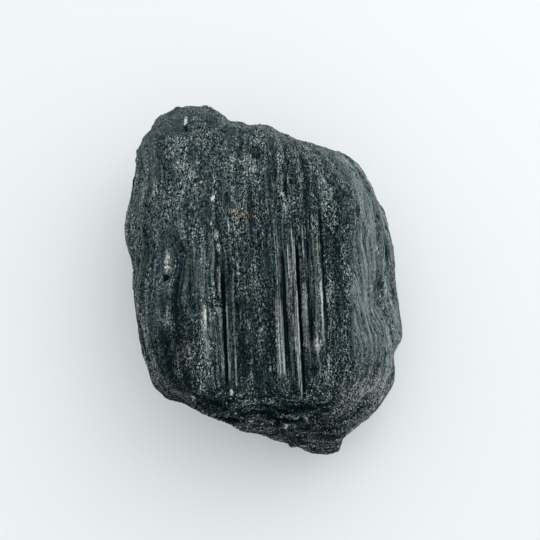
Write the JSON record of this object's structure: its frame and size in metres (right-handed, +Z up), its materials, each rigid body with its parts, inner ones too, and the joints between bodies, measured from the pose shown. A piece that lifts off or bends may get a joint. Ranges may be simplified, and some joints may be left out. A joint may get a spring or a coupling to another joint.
{
  "type": "tourmaline crystal",
  "caption": "Rough black tourmaline crystal: a stout ribbed prism with broken ends, lying on a flat face as a display or prop mineral specimen.",
  "frame": {"origin": "centre of the bounding box, on the plane of the flat face that the crystal rests on", "axes": "+Z up, away from the resting face; +Y along the ribs towards the rounded end; +X across the ribs"},
  "size_m": [0.049, 0.0606, 0.0317],
  "materials": {
    "schorl": "near-black blue-grey mineral, satin to glossy along the ribs, sugary and sparkling where broken"
  },
  "bodies": {
    "root": {"crystal": "schorl"}
  },
  "joints": []
}
